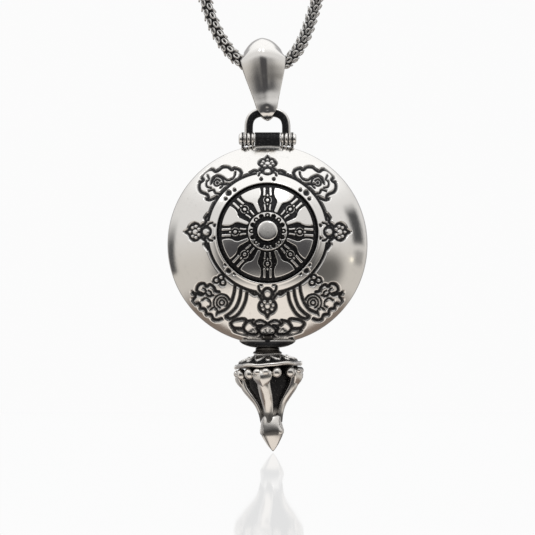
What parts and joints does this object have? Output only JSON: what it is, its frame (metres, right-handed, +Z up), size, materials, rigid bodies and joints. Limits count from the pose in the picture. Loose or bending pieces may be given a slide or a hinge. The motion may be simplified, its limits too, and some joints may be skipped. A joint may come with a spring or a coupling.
{
  "type": "prayer wheel locket pendant",
  "caption": "Round hinged prayer-box locket with a turning dharma wheel on its front, a swinging shackle and bail, a screwed half-vajra finial and a coiled woven chain.",
  "frame": {"origin": "the centre of the neck loop, here the put-away coil of chain that the pendant hangs from", "axes": "+Z up along the hanging pendant, -Y the front with the wheel, +X to the right seen from the front"},
  "size_m": [0.03, 0.0168, 0.1005],
  "materials": {
    "silver_polished": "hand-polished silver with fine scratches, blackened in its engraved lines",
    "silver_wheel": "polished silver relief, blackened in its recesses",
    "silver_cast": "cast silver, blackened in its recesses and rubbed bright on its high places",
    "silver_dark": "oxidised black silver with rubbed edges",
    "silver_chain": "woven silver wire, blackened between its loops",
    "spring_wire": "bright wire",
    "paper": "plain rolled paper",
    "thread": "twisted cotton thread"
  },
  "bodies": {
    "chain": {"necklace_chain": "silver_chain", "chain_end_a": "silver_chain", "chain_end_b": "silver_chain", "chain_coil": "silver_chain", "chain_tie": "thread", "end_cap_a": "silver_cast", "end_cap_b": "silver_cast", "jump_ring_a": "silver_cast", "jump_ring_b": "silver_cast", "clasp_body": "silver_cast", "clasp_rivet": "silver_cast", "clasp_spring": "spring_wire"},
    "clasp_gate": {"clasp_trigger": "silver_cast"},
    "bail": {"bail": "silver_polished"},
    "shackle": {"shackle": "silver_dark"},
    "back": {"back_shell": "silver_polished", "bezel_rim": "silver_polished", "socket_boss": "silver_dark", "hinge_lug_left": "silver_dark", "hinge_lug_right": "silver_dark", "hinge_pin": "silver_cast", "mantra_scroll": "paper", "scroll_thread": "thread"},
    "front": {"front_shell": "silver_polished", "front_knuckle": "silver_dark", "front_lug": "silver_dark", "wheel_axle": "silver_wheel", "axle_washer": "silver_polished"},
    "wheel": {"wheel_disc": "silver_wheel", "hub_ring": "silver_wheel"},
    "collar": {"neck_washer": "silver_dark"},
    "vajra": {"vajra_shank": "silver_dark", "vajra_canopy": "silver_cast", "vajra_core": "silver_cast", "vajra_prong_1": "silver_cast", "vajra_prong_2": "silver_cast", "vajra_prong_3": "silver_cast", "vajra_prong_4": "silver_cast"}
  },
  "joints": [
    {"name": "clasp_gate_hinge", "type": "hinge", "parent": "chain", "child": "clasp_gate", "pos_m": [-0.0013, 0, 0.0131], "axis": [0, -1, 0], "range_deg": [0, 20], "stiffness_Nm_per_rad": 0.0001, "springref_deg": -11.46},
    {"name": "bail_swing", "type": "hinge", "parent": "chain", "child": "bail", "pos_m": [0, 0, -0.02615], "axis": [1, 0, 0], "range_deg": [-35, 35]},
    {"name": "shackle_swing", "type": "hinge", "parent": "bail", "child": "shackle", "pos_m": [0, 0, -0.03383], "axis": [1, 0, 0], "range_deg": [-35, 35]},
    {"name": "locket_swing", "type": "hinge", "parent": "shackle", "child": "back", "pos_m": [0, 0, -0.03765], "axis": [1, 0, 0], "range_deg": [-30, 30]},
    {"name": "front_open", "type": "hinge", "parent": "back", "child": "front", "pos_m": [0, 0, -0.03765], "axis": [-1, 0, 0], "range_deg": [0, 90]},
    {"name": "wheel_spin", "type": "hinge", "parent": "front", "child": "wheel", "pos_m": [0, 0.01225, -0.0536], "axis": [0, -0.9982, 0.0593], "continuous": true},
    {"name": "vajra_drop", "type": "slide", "parent": "back", "child": "collar", "axis": [0, 0, -1], "range_m": [0, 0.0018]},
    {"name": "vajra_turn", "type": "hinge", "parent": "collar", "child": "vajra", "pos_m": [0, 0, -0.07], "axis": [0, 0, 1], "range_deg": [0, 1440]}
  ],
  "couplings": [
    {"joint": "vajra_turn", "follows": "vajra_drop", "rad_per_m": 13963}
  ]
}
